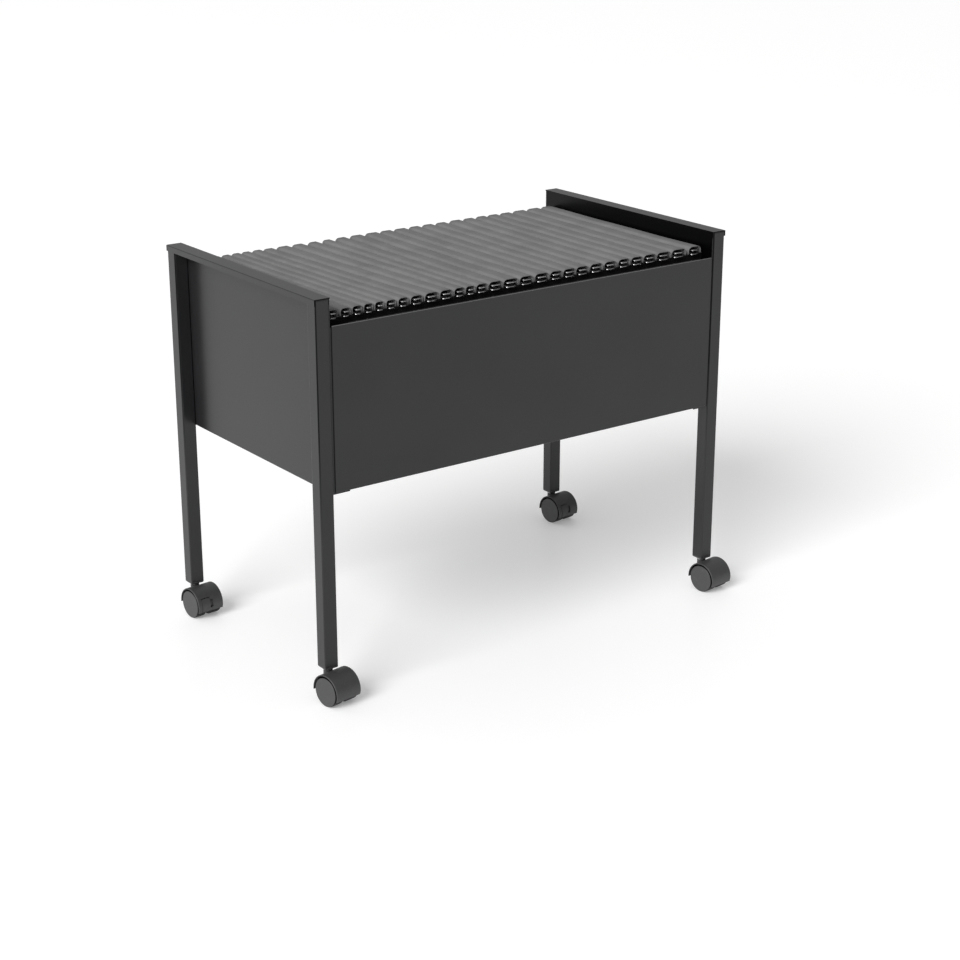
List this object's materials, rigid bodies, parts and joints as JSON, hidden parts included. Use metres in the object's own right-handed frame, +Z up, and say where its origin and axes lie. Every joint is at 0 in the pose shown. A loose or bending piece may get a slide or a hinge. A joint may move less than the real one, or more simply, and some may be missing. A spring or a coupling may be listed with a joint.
{
  "type": "suspension file trolley",
  "caption": "Open-topped mobile trolley on hooded twin-wheel castors, with folded steel panels and hanging rails that carry a row of suspension files.",
  "frame": {"origin": "floor level, under the middle of the whole object with its castors trailing forwards", "axes": "+X along the long side to the right, +Y from the front panel to the rear panel, +Z up"},
  "size_m": [0.6955, 0.4112, 0.535],
  "materials": {
    "black_steel": "satin anthracite powder coat",
    "castor_plastic": "moulded, lightly textured",
    "bright_steel": "bright zinc plated",
    "grey_card": "matt grey card"
  },
  "bodies": {
    "frame": {"castor_stems": "bright_steel", "front_panel": "black_steel", "front_rail": "black_steel", "leg_front_left": "black_steel", "leg_front_right": "black_steel", "leg_plugs": "castor_plastic", "leg_rear_left": "black_steel", "leg_rear_right": "black_steel", "rear_panel": "black_steel", "rear_rail": "black_steel", "side_panel_left": "black_steel", "side_panel_right": "black_steel"},
    "castor_fl": {"castor_fl_hood": "castor_plastic", "castor_fl_axle": "bright_steel"},
    "castor_fr": {"castor_fr_hood": "castor_plastic", "castor_fr_axle": "bright_steel"},
    "castor_rl": {"castor_rl_hood": "castor_plastic", "castor_rl_axle": "bright_steel"},
    "castor_rr": {"castor_rr_hood": "castor_plastic", "castor_rr_axle": "bright_steel"},
    "castor_fl_wheel_left": {"castor_fl_wheel_left": "castor_plastic"},
    "castor_fl_wheel_right": {"castor_fl_wheel_right": "castor_plastic"},
    "castor_fr_wheel_left": {"castor_fr_wheel_left": "castor_plastic"},
    "castor_fr_wheel_right": {"castor_fr_wheel_right": "castor_plastic"},
    "castor_rl_wheel_left": {"castor_rl_wheel_left": "castor_plastic"},
    "castor_rl_wheel_right": {"castor_rl_wheel_right": "castor_plastic"},
    "castor_rr_wheel_left": {"castor_rr_wheel_left": "castor_plastic"},
    "castor_rr_wheel_right": {"castor_rr_wheel_right": "castor_plastic"},
    "castor_rl_brake": {"castor_rl_brake": "castor_plastic"},
    "castor_rr_brake": {"castor_rr_brake": "castor_plastic"},
    "file_01_body": {"file_01": "grey_card"},
    "file_02_body": {"file_02": "grey_card"},
    "file_03_body": {"file_03": "grey_card"},
    "file_04_body": {"file_04": "grey_card"},
    "file_05_body": {"file_05": "grey_card"},
    "file_06_body": {"file_06": "grey_card"},
    "file_07_body": {"file_07": "grey_card"},
    "file_08_body": {"file_08": "grey_card"},
    "file_09_body": {"file_09": "grey_card"},
    "file_10_body": {"file_10": "grey_card"},
    "file_11_body": {"file_11": "grey_card"},
    "file_12_body": {"file_12": "grey_card"},
    "file_13_body": {"file_13": "grey_card"},
    "file_14_body": {"file_14": "grey_card"},
    "file_15_body": {"file_15": "grey_card"},
    "file_16_body": {"file_16": "grey_card"},
    "file_17_body": {"file_17": "grey_card"},
    "file_18_body": {"file_18": "grey_card"},
    "file_19_body": {"file_19": "grey_card"},
    "file_20_body": {"file_20": "grey_card"},
    "file_21_body": {"file_21": "grey_card"},
    "file_22_body": {"file_22": "grey_card"},
    "file_23_body": {"file_23": "grey_card"},
    "file_24_body": {"file_24": "grey_card"},
    "file_25_body": {"file_25": "grey_card"},
    "file_26_body": {"file_26": "grey_card"},
    "file_27_body": {"file_27": "grey_card"},
    "file_28_body": {"file_28": "grey_card"}
  },
  "joints": [
    {"name": "castor_fl_swivel", "type": "hinge", "parent": "frame", "child": "castor_fl", "pos_m": [-0.325, -0.163, 0.05], "axis": [0, 0, 1], "continuous": true},
    {"name": "castor_fr_swivel", "type": "hinge", "parent": "frame", "child": "castor_fr", "pos_m": [0.325, -0.163, 0.05], "axis": [0, 0, 1], "continuous": true},
    {"name": "castor_rl_swivel", "type": "hinge", "parent": "frame", "child": "castor_rl", "pos_m": [-0.325, 0.195, 0.05], "axis": [0, 0, 1], "continuous": true},
    {"name": "castor_rr_swivel", "type": "hinge", "parent": "frame", "child": "castor_rr", "pos_m": [0.325, 0.195, 0.05], "axis": [0, 0, 1], "continuous": true},
    {"name": "castor_fl_left_roll", "type": "hinge", "parent": "castor_fl", "child": "castor_fl_wheel_left", "pos_m": [-0.32236, -0.17969, 0.02], "axis": [0.9877, 0.1564, 0], "continuous": true},
    {"name": "castor_fl_right_roll", "type": "hinge", "parent": "castor_fl", "child": "castor_fl_wheel_right", "pos_m": [-0.32236, -0.17969, 0.02], "axis": [0.9877, 0.1564, 0], "continuous": true},
    {"name": "castor_fr_left_roll", "type": "hinge", "parent": "castor_fr", "child": "castor_fr_wheel_left", "pos_m": [0.32691, -0.17979, 0.02], "axis": [0.9936, 0.1132, 0], "continuous": true},
    {"name": "castor_fr_right_roll", "type": "hinge", "parent": "castor_fr", "child": "castor_fr_wheel_right", "pos_m": [0.32691, -0.17979, 0.02], "axis": [0.9936, 0.1132, 0], "continuous": true},
    {"name": "castor_rl_left_roll", "type": "hinge", "parent": "castor_rl", "child": "castor_rl_wheel_left", "pos_m": [-0.32367, 0.17815, 0.02], "axis": [0.9969, 0.0785, 0], "continuous": true},
    {"name": "castor_rl_right_roll", "type": "hinge", "parent": "castor_rl", "child": "castor_rl_wheel_right", "pos_m": [-0.32367, 0.17815, 0.02], "axis": [0.9969, 0.0785, 0], "continuous": true},
    {"name": "castor_rr_left_roll", "type": "hinge", "parent": "castor_rr", "child": "castor_rr_wheel_left", "pos_m": [0.32662, 0.17818, 0.02], "axis": [0.9954, 0.0958, 0], "continuous": true},
    {"name": "castor_rr_right_roll", "type": "hinge", "parent": "castor_rr", "child": "castor_rr_wheel_right", "pos_m": [0.32662, 0.17818, 0.02], "axis": [0.9954, 0.0958, 0], "continuous": true},
    {"name": "castor_rl_brake_press", "type": "hinge", "parent": "castor_rl", "child": "castor_rl_brake", "pos_m": [-0.32367, 0.17815, 0.02], "axis": [0.9969, 0.0785, 0], "range_deg": [0, 22]},
    {"name": "castor_rr_brake_press", "type": "hinge", "parent": "castor_rr", "child": "castor_rr_brake", "pos_m": [0.32662, 0.17818, 0.02], "axis": [0.9954, 0.0958, 0], "range_deg": [0, 22]},
    {"name": "file_01_lift", "type": "slide", "parent": "frame", "child": "file_01_body", "axis": [0, 0, 1], "range_m": [0, 0.25]},
    {"name": "file_02_lift", "type": "slide", "parent": "frame", "child": "file_02_body", "axis": [0, 0, 1], "range_m": [0, 0.25]},
    {"name": "file_03_lift", "type": "slide", "parent": "frame", "child": "file_03_body", "axis": [0, 0, 1], "range_m": [0, 0.25]},
    {"name": "file_04_lift", "type": "slide", "parent": "frame", "child": "file_04_body", "axis": [0, 0, 1], "range_m": [0, 0.25]},
    {"name": "file_05_lift", "type": "slide", "parent": "frame", "child": "file_05_body", "axis": [0, 0, 1], "range_m": [0, 0.25]},
    {"name": "file_06_lift", "type": "slide", "parent": "frame", "child": "file_06_body", "axis": [0, 0, 1], "range_m": [0, 0.25]},
    {"name": "file_07_lift", "type": "slide", "parent": "frame", "child": "file_07_body", "axis": [0, 0, 1], "range_m": [0, 0.25]},
    {"name": "file_08_lift", "type": "slide", "parent": "frame", "child": "file_08_body", "axis": [0, 0, 1], "range_m": [0, 0.25]},
    {"name": "file_09_lift", "type": "slide", "parent": "frame", "child": "file_09_body", "axis": [0, 0, 1], "range_m": [0, 0.25]},
    {"name": "file_10_lift", "type": "slide", "parent": "frame", "child": "file_10_body", "axis": [0, 0, 1], "range_m": [0, 0.25]},
    {"name": "file_11_lift", "type": "slide", "parent": "frame", "child": "file_11_body", "axis": [0, 0, 1], "range_m": [0, 0.25]},
    {"name": "file_12_lift", "type": "slide", "parent": "frame", "child": "file_12_body", "axis": [0, 0, 1], "range_m": [0, 0.25]},
    {"name": "file_13_lift", "type": "slide", "parent": "frame", "child": "file_13_body", "axis": [0, 0, 1], "range_m": [0, 0.25]},
    {"name": "file_14_lift", "type": "slide", "parent": "frame", "child": "file_14_body", "axis": [0, 0, 1], "range_m": [0, 0.25]},
    {"name": "file_15_lift", "type": "slide", "parent": "frame", "child": "file_15_body", "axis": [0, 0, 1], "range_m": [0, 0.25]},
    {"name": "file_16_lift", "type": "slide", "parent": "frame", "child": "file_16_body", "axis": [0, 0, 1], "range_m": [0, 0.25]},
    {"name": "file_17_lift", "type": "slide", "parent": "frame", "child": "file_17_body", "axis": [0, 0, 1], "range_m": [0, 0.25]},
    {"name": "file_18_lift", "type": "slide", "parent": "frame", "child": "file_18_body", "axis": [0, 0, 1], "range_m": [0, 0.25]},
    {"name": "file_19_lift", "type": "slide", "parent": "frame", "child": "file_19_body", "axis": [0, 0, 1], "range_m": [0, 0.25]},
    {"name": "file_20_lift", "type": "slide", "parent": "frame", "child": "file_20_body", "axis": [0, 0, 1], "range_m": [0, 0.25]},
    {"name": "file_21_lift", "type": "slide", "parent": "frame", "child": "file_21_body", "axis": [0, 0, 1], "range_m": [0, 0.25]},
    {"name": "file_22_lift", "type": "slide", "parent": "frame", "child": "file_22_body", "axis": [0, 0, 1], "range_m": [0, 0.25]},
    {"name": "file_23_lift", "type": "slide", "parent": "frame", "child": "file_23_body", "axis": [0, 0, 1], "range_m": [0, 0.25]},
    {"name": "file_24_lift", "type": "slide", "parent": "frame", "child": "file_24_body", "axis": [0, 0, 1], "range_m": [0, 0.25]},
    {"name": "file_25_lift", "type": "slide", "parent": "frame", "child": "file_25_body", "axis": [0, 0, 1], "range_m": [0, 0.25]},
    {"name": "file_26_lift", "type": "slide", "parent": "frame", "child": "file_26_body", "axis": [0, 0, 1], "range_m": [0, 0.25]},
    {"name": "file_27_lift", "type": "slide", "parent": "frame", "child": "file_27_body", "axis": [0, 0, 1], "range_m": [0, 0.25]},
    {"name": "file_28_lift", "type": "slide", "parent": "frame", "child": "file_28_body", "axis": [0, 0, 1], "range_m": [0, 0.25]}
  ]
}
